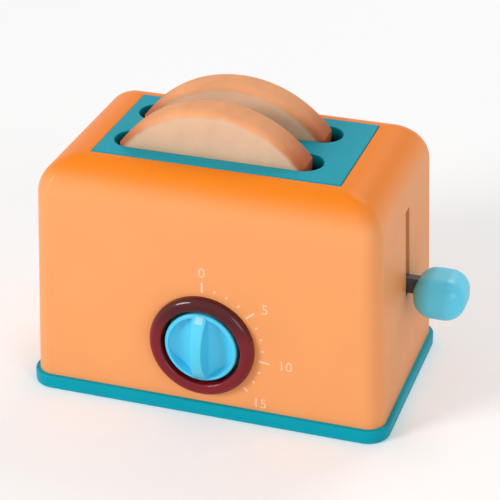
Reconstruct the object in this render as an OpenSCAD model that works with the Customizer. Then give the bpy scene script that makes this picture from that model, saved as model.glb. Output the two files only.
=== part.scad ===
// Toy toaster with a clockwork timer dial, a lit dial ring, a spring-loaded carriage and two slices.
// Origin: centre of the footprint on the table, +Z up. The front faces -Y and the lever is on +X.

/* [Body] */
// Width of the shell at its bottom edge
body_w = 156; // [140:1:180]
// Depth of the shell, front to back
body_d = 93; // [88:1:110]
// Height from the table to the top of the insert
body_h = 109; // [106:1:125]
// How far each side leans in from the bottom edge to the shoulder
side_lean = 3.7; // [0:0.1:6]
// Width of the round shoulder above each side
shoulder_x = 19; // [14:0.5:20]
// Depth of the round shoulder above the front and the back
shoulder_y = 15; // [10:0.5:15]
// Height of all the shoulders
shoulder_z = 17; // [12:0.5:20]
// Radius of the four upright corners
corner_r = 8; // [5:0.5:12]
// Wall of the shell
shell_wall = 2.2; // [1.8:0.1:2.8]

/* [Base] */
// Thickness of the base slab
base_t = 6.2; // [5.5:0.1:7.5]
// How far the base slab stands out past the shell
base_lip = 2; // [0:0.5:4]
// Distance of the shell's screw posts from the outside of the shell
post_inset = 11; // [10:0.5:14]
// Radius of the shell's screw posts
post_r = 4; // [3:0.5:5]

/* [Top insert] */
// Margin of the insert past the right end of the slots
insert_end = 11.65; // [9.5:0.05:12]
// Margin of the insert past the long sides of the slots
insert_side = 7.65; // [6:0.05:8]
// Thickness of the insert's plate
insert_t = 2.4; // [2:0.1:3.2]
// How far the insert stands proud of the shell
insert_proud = 0.4; // [0.2:0.1:1]
// Distance of each slot's centre line from the middle
slot_y = 14.5; // [13.5:0.5:15.5]
// Room in a slot on each face of a slice
slot_side = 1.5; // [1:0.1:2]
// Room in a slot past the left edge of a slice
slot_left = 3.8; // [3:0.1:4.2]
// Room in a slot past the right edge of a slice
slot_right = 6.2; // [5:0.1:7]
// Wall of the chutes under the slots
chute_wall = 1.4; // [1:0.1:1.8]
// Height of the chutes' lower edge over the raised carriage
chute_gap = 3; // [2:0.5:8]
// Width of the ledge that carries the insert
ledge_w = 2.5; // [2:0.1:3]
// Thickness of the ledge that carries the insert
ledge_t = 2.5; // [2:0.1:3]
// Width of each snap hook
snap_w = 8; // [5:0.5:12]
// Thickness of each snap hook
snap_t = 1.6; // [1.2:0.1:2]

/* [Bread] */
// Width of a slice
bread_w = 81; // [70:1:82]
// Height of a slice to the top of its dome
bread_h = 84; // [70:1:90]
// Thickness of a slice
bread_t = 14; // [10:0.5:14.5]
// Radius of a slice's domed top
dome_r = 51; // [45:1:60]
// Radius of a slice's lower corners
bread_corner_r = 5; // [3:0.5:8]
// Depth of the soft edge round each face of a slice
crust_step = 1.5; // [0.5:0.1:2.5]
// Place of the slices' middle, left to right
bread_x = -4.7; // [-6:0.1:-3]
// How far a slice can be lifted out of its slot
bread_lift = 90; // [80:1:120]

/* [Dial] */
// Height of the dial's centre above the table
dial_z = 34; // [32:0.5:38]
// Radius of the dial ring
ring_r = 23; // [22.5:0.5:25]
// Radius of the opening in the dial ring
ring_bore_r = 17.5; // [17.2:0.1:18.4]
// How far the dial ring stands out from the front
ring_proud = 4; // [2:0.5:6]
// Radius of the ring's sleeve in the front wall
sleeve_r = 20.1; // [19.5:0.1:20.5]
// Radius of the dial knob
knob_r = 15.9; // [15:0.1:16.5]
// How far the knob's face sits behind the front of the ring
knob_sink = 0.9; // [0.4:0.1:2]
// Thickness of the dial knob
knob_t = 6.3; // [5.8:0.1:8]
// Width of the arched grip ridge at the knob's face
ridge_w = 6.6; // [5:0.1:8]
// Width of the grip ridge at its crest
ridge_top_w = 5; // [3:0.1:5]
// Height of the grip ridge over the knob's face
ridge_rise = 6.5; // [3:0.1:8]
// Width of the rim round the knob's two scoops
rim_w = 1.6; // [1:0.1:2.5]
// Depth of the scoops beside the ridge
scoop_deep = 2.6; // [1.5:0.1:3]
// Depth of the scoops at the rim
scoop_shallow = 0.6; // [0.3:0.1:1]
// Radius of the dial shaft
shaft_r = 2.5; // [2:0.1:3]

/* [Timer] */
// Half of the timer case's width
case_half_w = 24; // [23.5:0.5:26]
// Half of the timer case's height
case_half_h = 20; // [19.5:0.5:20.5]
// Thickness of the timer case's plates
plate_t = 1.8; // [1.5:0.1:2]
// Depth of the room between the plates
case_room = 10.5; // [10.5:0.1:11]
// Wall round the timer case
case_wall = 1.5; // [1:0.1:1.6]
// Module of the clockwork teeth
gear_module = 0.6; // [0.58:0.01:0.6]
// Teeth of the drive gear on the dial shaft
drive_teeth = 40; // [40:1:40]
// Teeth of the middle wheel
wheel_teeth = 30; // [30:1:30]
// Teeth of each pinion
pinion_teeth = 10; // [10:1:10]
// Radius of the two clockwork arbors
arbor_r = 0.8; // [0.6:0.05:1]
// Turns of the mainspring
mainspring_turns = 4; // [3:1:5]
// Thickness of the light board
board_t = 1.2; // [1:0.1:1.6]
// Number of lamps behind the dial ring
lamp_count = 3; // [2:1:6]
// Radius of each lamp
lamp_r = 1.5; // [1:0.1:1.5]

/* [Carriage] */
// Distance of the guide rods from the middle
rod_x = 61; // [60.5:0.5:62]
// Radius of the guide rods
rod_r = 1.5; // [1.2:0.1:1.8]
// Travel of the carriage
travel = 30; // [20:1:31]
// Height of the slices' lower edge with the carriage down
seat_z = 45; // [45:0.5:47]
// Thickness of the seats under the slices
seat_t = 2.5; // [2:0.1:3]
// Width of the seats under the slices
seat_w = 11; // [8:0.5:12]
// Width of the carriage's spine
spine_w = 6; // [5:0.5:6.5]
// Height of the carriage's spine
spine_h = 4.5; // [3.5:0.5:5]
// Outer radius of the bushes on the rods
bush_r = 3.6; // [3:0.1:4]
// Length of the bushes on the rods
bush_l = 14; // [10:1:18]
// Radius of the spring wire
wire_r = 0.4; // [0.3:0.05:0.5]
// Mean radius of the return springs
coil_r = 3; // [2.7:0.1:3.3]
// Turns of each return spring
coil_turns = 9; // [6:1:10]

/* [Lever] */
// Height of the lever's middle with the carriage down
lever_z = 52; // [52:0.5:54]
// Thickness of the lever arm, front to back
arm_w = 4; // [3.5:0.1:4.6]
// Height of the lever arm
arm_h = 7; // [6:0.5:8]
// Length of the lever knob, away from the side
grip_l = 22.5; // [18:0.5:24]
// Width of the lever knob, front to back
grip_w = 24; // [20:0.5:32]
// Height of the lever knob
grip_h = 19; // [18:0.5:24]
// Radius of the lever knob's edges
grip_r = 8.5; // [3:0.5:9]
// How far the middle of the lever knob is below the middle of the arm
grip_drop = 2.5; // [0:0.5:3]
// Gap between the lever knob and the base line of the shell's side
grip_gap = 1.5; // [1:0.5:3]
// Width of the lever's slot in the side
lever_slot_w = 6.4; // [6:0.1:8]

/* [Batteries] */
// Radius of a battery cell
cell_r = 7.25; // [7.1:0.05:7.3]
// Length of a battery cell with its nub
cell_l = 50.5; // [49:0.5:50.5]
// Room for the contacts at each end of the cells
contact_room = 3.15; // [2.8:0.05:4]
// Wall of the battery well
well_wall = 1.6; // [1.2:0.1:2]
// Place of the battery well's front edge
well_y = 7; // [6.5:0.5:8]
// Thickness of the battery door
door_t = 1.8; // [1.5:0.1:2]
// How far the battery door overlaps the well
door_lap = 2; // [1.5:0.1:3]
// How far the battery door sits inside the underside
door_recess = 0.4; // [0.2:0.1:0.8]

/* [Latch] */
// Place of the latch pivot, left to right
latch_x = 12; // [12:0.5:13]
// Height of the latch pivot
latch_z = 18; // [18:0.1:18.5]
// Radius of the latch pin
latch_pin_r = 1.5; // [1.2:0.1:1.6]
// Angle between the latch's open and closed places
latch_swing = 12; // [10:1:14]
// Radius of the release cam
cam_r = 5.5; // [4.5:0.1:6]
// Radius of the release cam's lobe
lobe_r = 7; // [6.2:0.1:7.2]

/* [Fits] */
// Radial running clearance of shafts, rods and pivots
run_gap = 0.05; // [0.02:0.01:0.09]
// Clearance of parts that are pushed together
fit_gap = 0.03; // [0.02:0.01:0.06]
// Clearance round parts that drop into an opening
drop_gap = 0.2; // [0.1:0.05:0.3]
// Gap under parts that rest on their seat
seat_gap = 0.1; // [0.05:0.05:0.25]

/* [Hidden] */
$fn = 48;
eps = 0.01;

// Levels of the body
shell_z = base_t;
door_top = door_recess + door_t;
shell_top = body_h - insert_proud;
shoulder_start = shell_top - shoulder_z;
half_w = body_w / 2;
half_d = body_d / 2;
arc_steps = 6;
shoulder_step = 15;

// Slots and the insert round them
slot_w = bread_t + 2 * slot_side;
slot_l = bread_w + slot_left + slot_right;
slot_x = bread_x + (slot_right - slot_left) / 2;
insert_w = 2 * (slot_x + slot_l / 2 + insert_end);
insert_d = 2 * (slot_y + slot_w / 2 + insert_side);

// Top opening and its ledge
open_w = insert_w + 2 * drop_gap;
open_d = insert_d + 2 * drop_gap;
ledge_top = body_h - insert_t;
ledge_z = ledge_top - ledge_t;
window_w = open_w - 2 * ledge_w;
window_d = open_d - 2 * ledge_w;
snap_x = insert_w * 0.28;

// Screws: shank radius, head radius, head height
big_screw = [1.3, 2.8, 2];
small_screw = [1, 2, 1.5];
post_x = half_w - post_inset;
post_y = half_d - post_inset;
pilot_depth = 14;
screw_sink = 0.8;

// Dial and timer, front to back
front_y = -half_d;
wall_y = front_y + shell_wall;
ring_y = front_y - ring_proud;
knob_y = ring_y + knob_sink;
knob_edge = 0.8;
ridge_end = knob_r - knob_edge;
knob_back = knob_y + knob_t;
sleeve_back = wall_y + 1.3;
board_y = wall_y + 3.8;
case_y = board_y + board_t + 1;
case_in = case_y + plate_t;
case_out = case_in + case_room;
case_back = case_out + plate_t - 0.2;
board_r = ring_r - 0.5;
board_hole_r = 7;
lamp_ring_r = (ring_bore_r + sleeve_r) / 2;
lamp_h = board_y - sleeve_back - drop_gap;
boss_x = case_half_w + 2;
boss_z = case_half_h - 3;
boss_r = 3.2;
hub_r = 4.5;

// Clockwork, placed from the dial's centre in the plane of the front
pinion_gap = 0.4;
pressure_angle = 25;
addendum = 0.8;
dedendum = 1.05;
tooth_thin = 0.06;
drive_reach = gear_module * (drive_teeth + pinion_teeth) / 2;
wheel_reach = gear_module * (wheel_teeth + pinion_teeth) / 2;
middle_angle = 147;
fly_angle = -100;
middle_at = [drive_reach * cos(middle_angle), dial_z + drive_reach * sin(middle_angle)];
fly_at = middle_at + wheel_reach * [cos(fly_angle), sin(fly_angle)];
drive_y = case_in + 0.6;
drive_t = 2.5;
wheel_y = drive_y + drive_t + pinion_gap + 0.2;
wheel_t = 1.8;
fly_y = wheel_y + wheel_t + pinion_gap + 0.4;
fly_t = 2.8;
fly_r = 5;
spring_y = wheel_y + wheel_t + pinion_gap;
spring_h = 3.4;
spring_r = 7.8;
spring_strip = 0.35;
anchor_r = 1.2;
shaft_back = case_back + 4.4;
cam_y = case_back + 0.6;
cam_t = 2.6;

// Carriage and lever
seat_x = bread_x;
seat_l = bread_w - 3;
chute_z = seat_z + travel + chute_gap;
bush_z = seat_z - 1;
holder_r = bush_r + 1.9;
spine_z = seat_z - seat_t;
rod_boss_r = 4;
rod_foot = shell_z + 6;
rod_bottom = shell_z + 1.4;
rod_top = shell_top - 5.6;
rod_boss_z = rod_top - 4;
arm_x = rod_x + holder_r;
tang_l = 2.6;
arm_end = half_w + grip_gap + grip_l * 0.65;
grip_x = half_w + grip_gap;
slot_low = lever_z - arm_h / 2 - 1.2;
slot_high = lever_z + arm_h / 2 + travel + 1.2;
grip_screw_x = grip_x + 6.5;
grip_low = lever_z - grip_drop - grip_h / 2;

// Batteries
well_w = cell_l + 2 * contact_room;
well_d = 4 * cell_r + 1.8;
cell_z = door_top + seat_gap + cell_r;
well_top = cell_z + cell_r + 0.6;
well_mid = well_y + well_wall + well_d / 2;
cell_pitch = 2 * cell_r + 0.6;
contact_t = contact_room * 0.16;
contact_half = cell_r * 0.62;
nub_l = cell_l * 0.02;
nub_r = cell_r * 0.38;
door_w = well_w + 2 * door_lap;
door_d = well_d + 2 * door_lap;
door_screw_x = -well_w / 2 - 5.5;
door_tab_w = 8;
door_head = door_recess + 0.9;

// Latch, drawn closed and then opened by its swing
catch_x = [3, 6, 8.6];
catch_z = [30, 32.2];
hook_y = [-4, -1];
post_face = 0.6;
latch_post_t = 3;
hub_wall = 1.6;
finger = [[0, 0], [-1.5, 5], [6.6 - latch_x, dial_z - 7.4 - latch_z]];
finger_r = 1.2;
nose_low = catch_z[1] + 0.3;
nose_h = 2.2;
hook_r = 1.3;
hook_arm = [[0, 0], [-0.2, 9], [catch_x[2] + 2.2 - latch_x, nose_low + 1 - latch_z]];

// Light switch under the spine
switch_x = -30;
switch_size = [12.8, 6, 6.5];
plunger_r = 1;
plunger_up = 2.2;
switch_top = spine_z - plunger_up - seat_gap * 2;

// Flat leads, as square-cornered runs of points
lead_half = 0.6;
lead_start = -well_w / 2 - well_wall - lead_half - fit_gap;
lead_turn = door_screw_x - 9;
lead_floor = shell_z + lead_half + fit_gap;
board_mid = board_y + board_t / 2;
lamp_lead = [[lead_start, well_y + 5, lead_floor], [lead_turn, well_y + 5, lead_floor],
             [lead_turn, board_mid, lead_floor], [lead_turn, board_mid, dial_z - 3],
             [-board_r - lead_half + 0.1, board_mid, dial_z - 3]];
switch_end = switch_x - switch_size[0] / 2 - lead_half - fit_gap;
switch_lead = [[lead_start, well_mid + 9, 12], [lead_turn + 2, well_mid + 9, 12],
               [lead_turn + 2, well_mid + 9, switch_top - 4], [lead_turn + 2, 0, switch_top - 4],
               [switch_end, 0, switch_top - 4]];

// Shared shapes

// Prism with its outline in the plane of the front, from y0 back to y1
module front_prism(y0, y1) {
    translate([0, y1, 0]) rotate([90, 0, 0]) linear_extrude(y1 - y0) children();
}

// Round bar along Y
module bar_y(x, z, r, y0, y1) {
    translate([x, y0, z]) rotate([-90, 0, 0]) cylinder(r = r, h = y1 - y0);
}

// Upright round bar
module bar_z(x, y, r, z0, z1) {
    translate([x, y, z0]) cylinder(r = r, h = z1 - z0);
}

// Box between two corners
module block(low, high) {
    translate(low) cube(high - low);
}

// Screw standing on its head's inner face, with its shank up along Z
module screw(size, shank) {
    slot_deep = size[2] * 0.5;
    difference() {
        union() {
            translate([0, 0, -size[2]]) cylinder(r = size[1], h = size[2]);
            translate([0, 0, -eps]) cylinder(r = size[0], h = shank + eps);
        }
        for (turn = [0, 90]) rotate(turn)
            translate([-size[1] * 0.6, -size[1] * 0.12, -size[2] - eps])
                cube([size[1] * 1.2, size[1] * 0.24, slot_deep + eps]);
    }
}

// Outline of one slot with round ends, grown by a margin
module slot_outline(grow) {
    reach = slot_l / 2 - slot_w / 2;
    translate([-reach, -slot_w / 2 - grow]) square([2 * reach, slot_w + 2 * grow]);
    for (side = [-1, 1]) translate([side * reach, 0]) circle(r = slot_w / 2 + grow);
}

// One level of the body: a rectangle with round corners, as points
function ring(z, hx, hy, r) = [
    for (q = [0:3], i = [0:arc_steps])
        let (a = 90 * q + 90 * i / arc_steps,
             sx = (q == 0 || q == 3) ? 1 : -1,
             sy = (q < 2) ? 1 : -1)
        [sx * (hx - r) + r * cos(a), sy * (hy - r) + r * sin(a), z]
];

// The body's closed outside form, taken in by a wall
module body_form(wall, bottom) {
    lean = side_lean * (shell_z - bottom) / (shoulder_start - shell_z);
    tip_r = 1.2;
    levels = concat(
        [ring(bottom, half_w + lean - wall, half_d - wall, corner_r - wall)],
        [for (a = [0:shoulder_step:90])
            let (r = max(tip_r + (corner_r - tip_r) * cos(a) - wall, 0.6))
            ring(shoulder_start + (shoulder_z - wall) * sin(a),
                 half_w - side_lean - wall - (shoulder_x - wall) * (1 - cos(a)),
                 half_d - wall - (shoulder_y - wall) * (1 - cos(a)), r)]);
    n = len(levels[0]);
    top = len(levels) - 1;
    points = [for (level = levels, p = level) p];
    sides = [for (i = [0:top - 1], j = [0:n - 1], half = [0, 1])
        let (a = i * n + j, b = i * n + (j + 1) % n)
        half == 0 ? [a, a + n, b + n] : [a, b + n, b]];
    caps = [[for (j = [0:n - 1]) j], [for (j = [n - 1:-1:0]) top * n + j]];
    polyhedron(points = points, faces = concat(sides, caps), convexity = 4);
}

// Gear teeth

function involute(base, r) = r <= base ? 0 :
    let (a = acos(base / r)) tan(a) * 180 / PI - a;

// Outline of a gear with a tooth on the +X side
function gear_points(teeth) =
    let (pitch = gear_module * teeth / 2,
         base = pitch * cos(pressure_angle),
         outer = pitch + addendum * gear_module,
         root = pitch - dedendum * gear_module,
         start = max(root, base),
         half = 90 / teeth - tooth_thin / pitch * 90 / PI + involute(base, pitch),
         radii = concat([root], [for (k = [0:4]) start + (outer - start) * k / 4 + eps * (k == 0 ? 1 : 0)]))
    [for (t = [0:teeth - 1], side = [-1, 1], k = [0:5])
        let (r = radii[side < 0 ? k : 5 - k],
             a = 360 * t / teeth + side * (half - involute(base, r)))
        [r * cos(a), r * sin(a)]];

// Gear between two depths, turned so that a tooth points along an angle
module gear(teeth, at, angle, y0, y1, bore) {
    difference() {
        front_prism(y0, y1) translate(at) rotate(angle) polygon(gear_points(teeth));
        bar_y(at[0], at[1], bore, y0 - 1, y1 + 1);
    }
}

// Housing

module shell_fittings() {
    for (sx = [-1, 1], sy = [-1, 1]) {
        bar_z(sx * post_x, sy * post_y, post_r, shell_z, shell_top);
        translate([sx * post_x, sy * post_y, shell_z]) rotate(sx * sy > 0 ? 45 : -45)
            translate([sx > 0 ? 0 : -post_inset * 1.4, -0.9, 0])
                cube([post_inset * 1.4, 1.8, shell_top - shell_z]);
    }
    for (sx = [-1, 1]) bar_z(sx * rod_x, 0, rod_boss_r, rod_boss_z, shell_top);
    difference() {
        block([-open_w / 2 - ledge_w, -open_d / 2 - ledge_w, ledge_z],
              [open_w / 2 + ledge_w, open_d / 2 + ledge_w, shell_top]);
        block([-window_w / 2, -window_d / 2, ledge_z - 1],
              [window_w / 2, window_d / 2, shell_top + 1]);
    }
}

module outer_shell() {
    color([0.98, 0.56, 0.2]) difference() {
        union() {
            difference() {
                body_form(0, shell_z);
                body_form(shell_wall, shell_z - 1);
            }
            intersection() {
                body_form(0, shell_z);
                shell_fittings();
            }
            for (sx = [-1, 1], sz = [-1, 1])
                bar_y(sx * boss_x, dial_z + sz * boss_z, boss_r, wall_y - 0.5, case_y);
        }
        block([-open_w / 2, -open_d / 2, ledge_top], [open_w / 2, open_d / 2, shell_top + 1]);
        block([-window_w / 2, -window_d / 2, ledge_z - 1],
              [window_w / 2, window_d / 2, shell_top + 1]);
        bar_y(0, dial_z, sleeve_r + drop_gap, front_y - 1, wall_y + 1);
        block([rod_x + holder_r + 2, -lever_slot_w / 2, slot_low],
              [half_w + 2, lever_slot_w / 2, slot_high]);
        for (sx = [-1, 1], sy = [-1, 1])
            bar_z(sx * post_x, sy * post_y, big_screw[0] + fit_gap, shell_z - 1,
                  shell_z + pilot_depth);
        for (sx = [-1, 1]) bar_z(sx * rod_x, 0, rod_r + fit_gap, rod_boss_z - 1, rod_top + 0.2);
        for (sx = [-1, 1], sz = [-1, 1])
            bar_y(sx * boss_x, dial_z + sz * boss_z, small_screw[0] + fit_gap,
                  wall_y + 0.6, case_y + 1);
    }
}

// One snap hook, hanging at y = 0 and catching outwards along +Y
module snap_hook() {
    hang = ledge_top - ledge_z + 2.6;
    catch = 1.3;
    translate([-snap_w / 2, -snap_t, ledge_top - hang]) cube([snap_w, snap_t, hang + eps]);
    translate([-snap_w / 2, -eps, ledge_z - seat_gap - 1.8]) cube([snap_w, catch + eps, 1.8]);
}

module top_insert() {
    color([0.22, 0.68, 0.78]) difference() {
        union() {
            block([-insert_w / 2, -insert_d / 2, ledge_top], [insert_w / 2, insert_d / 2, body_h]);
            for (side = [-1, 1]) translate([slot_x, side * slot_y, chute_z])
                linear_extrude(ledge_top - chute_z + eps) slot_outline(chute_wall);
            for (sx = [-1, 1], sy = [-1, 1])
                translate([sx * snap_x, sy * (window_d / 2 - 0.15), 0])
                    rotate(sy > 0 ? 0 : 180) snap_hook();
            for (sx = [-1, 1]) translate([sx * (window_w / 2 - 0.15), 0, 0])
                rotate(sx > 0 ? -90 : 90) snap_hook();
        }
        for (side = [-1, 1]) translate([slot_x, side * slot_y, chute_z - 1])
            linear_extrude(body_h - chute_z + 2) slot_outline(0);
    }
}

module base_outline(grow) {
    r = corner_r + base_lip;
    hx = half_w + grow;
    hy = half_d + grow;
    square([2 * hx, 2 * (hy - r)], center = true);
    square([2 * (hx - r), 2 * hy], center = true);
    for (sx = [-1, 1], sy = [-1, 1]) translate([sx * (hx - r), sy * (hy - r)]) circle(r = r);
}

module rim_outline(inset) {
    square([2 * (half_w - inset), 2 * (half_d - inset)], center = true);
}

module base_plate() {
    rim_in = shell_wall + drop_gap + 2.2;
    rim_h = 3;
    color([0.22, 0.68, 0.78]) difference() {
        union() {
            linear_extrude(base_t) base_outline(base_lip);
            for (sx = [-1, 1]) bar_z(sx * rod_x, 0, rod_boss_r, shell_z - eps, rod_foot);
            translate([0, 0, shell_z - eps]) linear_extrude(rim_h) difference() {
                rim_outline(shell_wall + drop_gap + 0.4);
                rim_outline(rim_in);
                for (sx = [-1, 1], sy = [-1, 1])
                    translate([sx * half_w, sy * half_d]) square(4 * post_inset, center = true);
            }
            block([-well_w / 2 - well_wall, well_y, shell_z - eps],
                  [well_w / 2 + well_wall, well_y + well_d + 2 * well_wall, well_top + well_wall]);
            block([door_screw_x - 4.5, well_mid - 5, shell_z - eps],
                  [-well_w / 2 - well_wall + eps, well_mid - 1, shell_z + 5]);
            bar_z(door_screw_x, well_mid, 3.4, shell_z - eps, shell_z + 7);
            block([latch_x - 3, post_face, shell_z - eps],
                  [latch_x + 3, post_face + latch_post_t, latch_z + 3]);
            block([switch_x - 5, -switch_size[1] / 2, shell_z - eps],
                  [switch_x + 5, switch_size[1] / 2, switch_top - switch_size[2]]);
        }
        block([-well_w / 2, well_y + well_wall, -1],
              [well_w / 2, well_y + well_wall + well_d, well_top]);
        door_form(drop_gap, -1, door_top);
        bar_z(door_screw_x, well_mid, small_screw[0] + fit_gap, 0, shell_z + 5.5);
        for (sx = [-1, 1], sy = [-1, 1]) {
            bar_z(sx * post_x, sy * post_y, big_screw[0] + drop_gap, -1, shell_z + 1);
            bar_z(sx * post_x, sy * post_y, big_screw[1] + drop_gap, -1, big_screw[2] + screw_sink);
        }
        for (sx = [-1, 1]) bar_z(sx * rod_x, 0, rod_r + fit_gap, rod_bottom, rod_foot + 1);
        bar_y(latch_x, latch_z, latch_pin_r + fit_gap, post_face - 1, post_face + latch_post_t + 1);
    }
}

module dial_lens() {
    color([0.48, 0.07, 0.16]) translate([0, 0, dial_z]) rotate([90, 0, 0]) rotate_extrude()
        polygon([
            [ring_bore_r, -sleeve_back], [sleeve_r, -sleeve_back], [sleeve_r, -front_y],
            [ring_r, -front_y], [ring_r, -ring_y - 1.6], [ring_r - 0.5, -ring_y - 0.6],
            [ring_r - 1.6, -ring_y], [ring_bore_r + 0.9, -ring_y], [ring_bore_r, -ring_y - 0.9]
        ]);
}

module base_screws() {
    color([0.62, 0.63, 0.65]) for (sx = [-1, 1], sy = [-1, 1])
        translate([sx * post_x, sy * post_y, big_screw[2] + screw_sink])
            screw(big_screw, base_t + pilot_depth - 5);
}

module guide_rods() {
    color([0.75, 0.76, 0.78]) for (sx = [-1, 1])
        bar_z(sx * rod_x, 0, rod_r, rod_bottom + seat_gap, rod_top);
}

// Timer

module case_ears(y0, y1) {
    for (sx = [-1, 1], sz = [-1, 1]) {
        bar_y(sx * boss_x, dial_z + sz * boss_z, boss_r, y0, y1);
        block([sx * (boss_x - 2) - 2, y0, dial_z + sz * boss_z - boss_r],
              [sx * (boss_x - 2) + 2, y1, dial_z + sz * boss_z + boss_r]);
    }
}

module ear_holes(y0, y1) {
    for (sx = [-1, 1], sz = [-1, 1])
        bar_y(sx * boss_x, dial_z + sz * boss_z, small_screw[0] + drop_gap, y0 - 1, y1 + 1);
}

module timer_front() {
    color([0.9, 0.9, 0.88]) difference() {
        union() {
            block([-case_half_w, case_y, dial_z - case_half_h],
                  [case_half_w, case_in, dial_z + case_half_h]);
            case_ears(case_y, case_in);
            for (k = [0:2]) rotate_dial(60 + 120 * k)
                bar_y(lamp_ring_r, 0, 1.4, board_y + board_t, case_y + eps);
        }
        ear_holes(case_y, case_in);
        bar_y(0, dial_z, shaft_r + run_gap, case_y - 1, case_in + 1);
        for (at = [middle_at, fly_at]) bar_y(at[0], at[1], arbor_r + run_gap, case_y + 0.5, case_in + 1);
    }
}

// Places things round the dial's axis
module rotate_dial(angle) {
    translate([0, 0, dial_z]) rotate([0, angle, 0]) children();
}

module timer_back() {
    low = [-case_half_w, 0, dial_z - case_half_h];
    high = [case_half_w, 0, dial_z + case_half_h];
    color([0.85, 0.85, 0.83]) difference() {
        union() {
            block([low[0], case_in, low[2]], [high[0], case_back, high[2]]);
            case_ears(case_in, case_in + plate_t);
        }
        difference() {
            block([low[0] + case_wall, case_in - 1, low[2] + case_wall],
                  [high[0] - case_wall, case_out, high[2] - case_wall]);
            bar_y(spring_r + anchor_r + seat_gap / 2, dial_z, anchor_r, spring_y, case_out + 1);
        }
        ear_holes(case_in, case_in + plate_t);
        bar_y(0, dial_z, shaft_r + run_gap, case_out - 1, case_back + 1);
        for (at = [middle_at, fly_at])
            bar_y(at[0], at[1], arbor_r + run_gap, case_out - 1, case_back - 0.5);
        bar_y(latch_x, latch_z, latch_pin_r + fit_gap, case_out - 1, case_back + 1);
    }
}

module timer_screws() {
    color([0.62, 0.63, 0.65]) for (sx = [-1, 1], sz = [-1, 1])
        translate([sx * boss_x, case_in + plate_t, dial_z + sz * boss_z]) rotate([90, 0, 0])
            screw(small_screw, case_in + plate_t - wall_y - 1.4);
}

module light_board() {
    color([0.1, 0.42, 0.22]) difference() {
        bar_y(0, dial_z, board_r, board_y, board_y + board_t);
        bar_y(0, dial_z, board_hole_r, board_y - 1, board_y + board_t + 1);
    }
}

module ring_lamps() {
    color([0.95, 0.25, 0.2]) for (k = [0:lamp_count - 1]) rotate_dial(360 * k / lamp_count) {
        bar_y(lamp_ring_r, 0, lamp_r, board_y - lamp_h + 0.5, board_y);
        bar_y(lamp_ring_r, 0, lamp_r - 0.4, board_y - lamp_h, board_y - lamp_h + 0.5 + eps);
    }
}

// Flat spiral of spring strip round the dial shaft
module mainspring() {
    inner = shaft_r + 0.5;
    steps = 20 * mainspring_turns;
    pitch = (spring_r - inner - spring_strip) / mainspring_turns;
    centre = [for (i = [0:steps]) inner + pitch * i / 20];
    side_in = [for (i = [0:steps]) centre[i] * [cos(18 * i), sin(18 * i)]];
    side_out = [for (i = [steps:-1:0]) (centre[i] + spring_strip) * [cos(18 * i), sin(18 * i)]];
    color([0.45, 0.48, 0.55]) front_prism(spring_y, spring_y + spring_h)
        translate([0, dial_z]) polygon(concat(side_in, side_out));
}

// Dial

// Trough that is deepest near the ridge and shallow at the rim
module scoop(side) {
    far = knob_r - rim_w;
    near = ridge_w / 2;
    reach = far - near;
    intersection() {
        bar_y(0, dial_z, far, knob_y - 1, knob_back);
        translate([0, 0, dial_z - knob_r]) linear_extrude(2 * knob_r) polygon([
            [side * near, knob_y - 2], [side * far, knob_y - 2], [side * far, knob_y + scoop_shallow],
            [side * (near + reach * 0.75), knob_y + scoop_deep * 0.7],
            [side * (near + reach * 0.35), knob_y + scoop_deep],
            [side * (near + reach * 0.08), knob_y + scoop_deep * 0.6], [side * near, knob_y]
        ]);
    }
}

// Arched grip that rises from the knob's face and leans in towards its crest
module grip_ridge() {
    arch_r = (ridge_end * ridge_end + ridge_rise * ridge_rise) / (2 * ridge_rise);
    root_y = knob_y + scoop_deep;
    crest_y = knob_y - ridge_rise;
    intersection() {
        translate([-ridge_w, crest_y + arch_r, dial_z]) rotate([0, 90, 0]) cylinder(r = arch_r, h = 2 * ridge_w);
        translate([0, 0, dial_z - ridge_end]) linear_extrude(2 * ridge_end) polygon([
            [-ridge_w / 2, root_y], [ridge_w / 2, root_y], [ridge_w / 2, knob_y],
            [ridge_top_w / 2, crest_y], [-ridge_top_w / 2, crest_y], [-ridge_w / 2, knob_y]
        ]);
        bar_y(0, dial_z, ridge_end, crest_y - 1, root_y + 1);
    }
}

module dial_knob() {
    color([0.3, 0.76, 0.9]) difference() {
        union() {
            difference() {
                translate([0, 0, dial_z]) rotate([90, 0, 0]) rotate_extrude() polygon([
                    [0, -knob_back], [knob_r, -knob_back], [knob_r, -knob_y - knob_edge],
                    [knob_r - knob_edge, -knob_y], [0, -knob_y]
                ]);
                scoop(-1);
                scoop(1);
            }
            grip_ridge();
            bar_y(0, dial_z, hub_r, knob_back - eps, board_y - 0.6);
        }
        bar_y(0, dial_z, shaft_r + fit_gap, knob_back - 2.2, board_y + 1);
    }
}

module dial_shaft() {
    color([0.75, 0.76, 0.78]) bar_y(0, dial_z, shaft_r, knob_back - 2.2 + seat_gap, shaft_back);
}

module drive_gear() {
    color([0.93, 0.82, 0.4])
        gear(drive_teeth, [0, dial_z], middle_angle, drive_y, drive_y + drive_t, shaft_r + fit_gap);
}

module release_cam() {
    color([0.92, 0.45, 0.2]) difference() {
        front_prism(cam_y, cam_y + cam_t) translate([0, dial_z]) {
            circle(r = cam_r);
            intersection() {
                circle(r = lobe_r);
                polygon([[0, 0], [9, -15], [15, -9]]);
            }
        }
        bar_y(0, dial_z, shaft_r + fit_gap, cam_y - 1, cam_y + cam_t + 1);
    }
}

// Gear train

module middle_gear() {
    half_tooth = 180 / pinion_teeth;
    color([0.9, 0.88, 0.8]) {
        gear(pinion_teeth, middle_at, middle_angle + 180 + half_tooth, drive_y - 0.2, wheel_y + eps,
             arbor_r + fit_gap);
        gear(wheel_teeth, middle_at, fly_angle, wheel_y, wheel_y + wheel_t, arbor_r + fit_gap);
    }
}

module middle_arbor() {
    color([0.75, 0.76, 0.78]) bar_y(middle_at[0], middle_at[1], arbor_r, case_y + 0.6, case_back - 0.6);
}

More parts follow.
